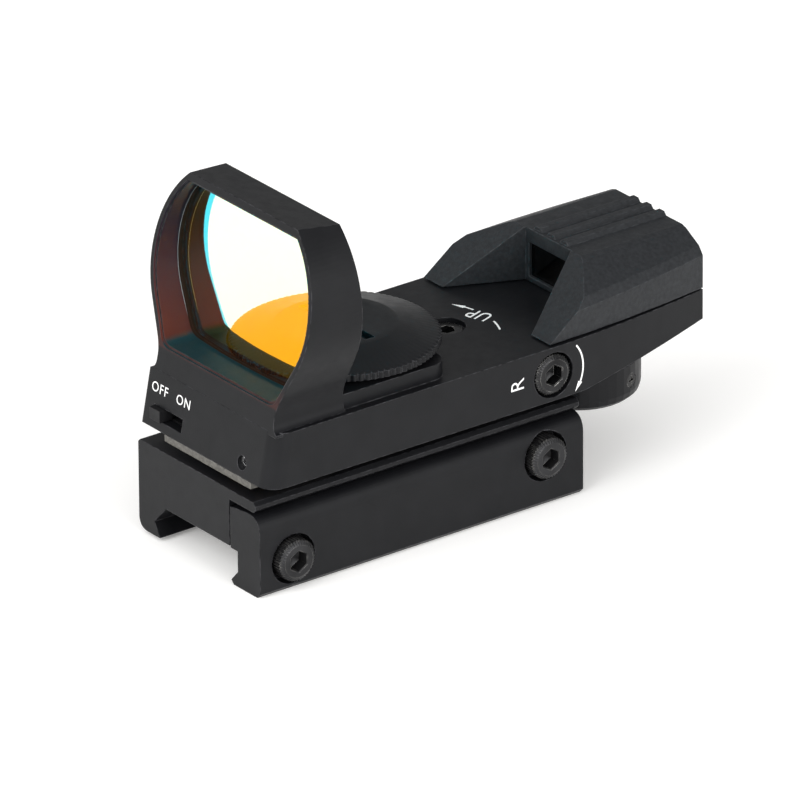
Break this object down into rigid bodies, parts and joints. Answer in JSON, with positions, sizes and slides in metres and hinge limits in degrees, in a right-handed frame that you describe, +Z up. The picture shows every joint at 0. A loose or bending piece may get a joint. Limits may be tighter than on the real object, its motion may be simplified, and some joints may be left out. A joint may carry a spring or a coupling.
{
  "type": "reflex sight",
  "caption": "Open reflex sight on an adjustable rail clamp, with a leaning lens hood, a coin-slotted battery cap, adjusting screws and a reticle dial.",
  "frame": {"origin": "on the rail seat, on the optical centre plane, half way along the rail base", "axes": "+Y towards the emitter end, +Z up, +X towards the clamp plate"},
  "size_m": [0.0406, 0.0878, 0.0593],
  "materials": {
    "anodised": "satin black anodised",
    "moulded": "fine moulded texture",
    "black_steel": "black oxide, worn bright at the edges",
    "bright_steel": "plain steel",
    "brown_plate": "rough brown-grey",
    "brass": "plain",
    "coated_glass": "red-reflecting coating",
    "clear_window": "smooth",
    "black_plastic": "moulded",
    "green_board": "solder mask",
    "led": "clear red",
    "rubber": "plain",
    "red_cable": "insulation",
    "black_cable": "insulation"
  },
  "bodies": {
    "rail_mount": {"rail_base": "anodised", "pivot_screw": "black_steel", "pivot_washer": "brass", "windage_post": "bright_steel"},
    "clamp": {"clamp_plate": "anodised"},
    "front_clamp_screw": {"clamp_screw_front": "black_steel"},
    "rear_clamp_screw": {"clamp_screw_rear": "black_steel"},
    "swivel": {"pivot_plate": "brown_plate", "elevation_spring": "bright_steel"},
    "sight": {"optic_housing": "anodised", "pivot_pin_left": "bright_steel", "pivot_pin_right": "bright_steel", "lens_front_element": "coated_glass", "lens_rear_element": "coated_glass", "rear_cover": "moulded", "cover_screw_left": "black_steel", "cover_screw_right": "black_steel", "emitter_window": "clear_window", "circuit_board": "green_board", "led_emitter": "led", "battery_liner": "black_plastic", "contact_spring": "brass", "contact_clip": "brass", "wire_positive": "red_cable", "wire_negative": "black_cable", "switch_wire": "red_cable", "switch_body": "black_plastic", "windage_plunger": "bright_steel", "windage_spring": "bright_steel", "detent_spring": "bright_steel", "detent_ball": "bright_steel", "elevation_washer": "bright_steel", "windage_washer": "bright_steel"},
    "switch_knob": {"power_switch": "black_plastic"},
    "locking_screw": {"lock_screw": "bright_steel"},
    "elevation_adjuster": {"elevation_screw": "black_steel"},
    "windage_adjuster": {"windage_screw": "black_steel"},
    "reticle_selector": {"reticle_dial": "anodised", "dial_screw": "black_steel", "reticle_drum": "black_plastic", "reticle_film": "clear_window"},
    "cap_lifter": {"cap_seal": "rubber"},
    "cap": {"battery_cap": "anodised"},
    "cell": {"coin_cell": "bright_steel"}
  },
  "joints": [
    {"name": "clamp_open", "type": "slide", "parent": "rail_mount", "child": "clamp", "axis": [1, 0, 0], "range_m": [0, 0.003]},
    {"name": "front_clamp_turn", "type": "hinge", "parent": "clamp", "child": "front_clamp_screw", "pos_m": [0.0154, -0.025, -0.0011], "axis": [1, 0, 0], "range_deg": [0, 1545]},
    {"name": "rear_clamp_turn", "type": "hinge", "parent": "clamp", "child": "rear_clamp_screw", "pos_m": [0.0154, 0.024, 0.0022], "axis": [1, 0, 0], "range_deg": [0, 1545]},
    {"name": "windage_yaw", "type": "hinge", "parent": "rail_mount", "child": "swivel", "pos_m": [0, -0.0209, 0.0106], "axis": [0, 0, 1], "range_deg": [-0.75, 0.75]},
    {"name": "elevation_pitch", "type": "hinge", "parent": "swivel", "child": "sight", "pos_m": [0, -0.0209, 0.0139], "axis": [1, 0, 0], "range_deg": [-0.75, 0.75]},
    {"name": "switch_slide", "type": "slide", "parent": "sight", "child": "switch_knob", "axis": [1, 0, 0], "range_m": [0, 0.0046]},
    {"name": "locking_turn", "type": "hinge", "parent": "sight", "child": "locking_screw", "pos_m": [0.009, -0.0293, 0.0142], "axis": [0, 1, 0], "range_deg": [-90, 90]},
    {"name": "elevation_turn", "type": "hinge", "parent": "sight", "child": "elevation_adjuster", "pos_m": [0, 0.0164, 0.0205], "axis": [0, 0, 1], "range_deg": [-354, 354]},
    {"name": "windage_turn", "type": "hinge", "parent": "sight", "child": "windage_adjuster", "pos_m": [0.0169, 0.0246, 0.0164], "axis": [1, 0, 0], "range_deg": [-431, 431]},
    {"name": "reticle_turn", "type": "hinge", "parent": "sight", "child": "reticle_selector", "pos_m": [0, 0.0422, 0.0097], "axis": [0, 0, 1], "range_deg": [0, 270]},
    {"name": "cap_lift", "type": "slide", "parent": "sight", "child": "cap_lifter", "axis": [0, 0, 1], "range_m": [0, 0.003]},
    {"name": "cap_turn", "type": "hinge", "parent": "cap_lifter", "child": "cap", "pos_m": [0, -0.0045, 0.0245], "axis": [0, 0, 1], "range_deg": [0, 1442]},
    {"name": "cell_lift", "type": "slide", "parent": "sight", "child": "cell", "axis": [0, 0, 1], "range_m": [0, 0.0016]}
  ],
  "couplings": [
    {"joint": "front_clamp_turn", "follows": "clamp_open", "rad_per_m": 8976},
    {"joint": "rear_clamp_turn", "follows": "clamp_open", "rad_per_m": 8976},
    {"joint": "elevation_turn", "follows": "elevation_pitch", "ratio": 468.73},
    {"joint": "windage_turn", "follows": "windage_yaw", "ratio": 571.77},
    {"joint": "cap_turn", "follows": "cap_lift", "rad_per_m": 8377.6},
    {"joint": "cell_lift", "follows": "cap_lift", "ratio": 0.5}
  ]
}
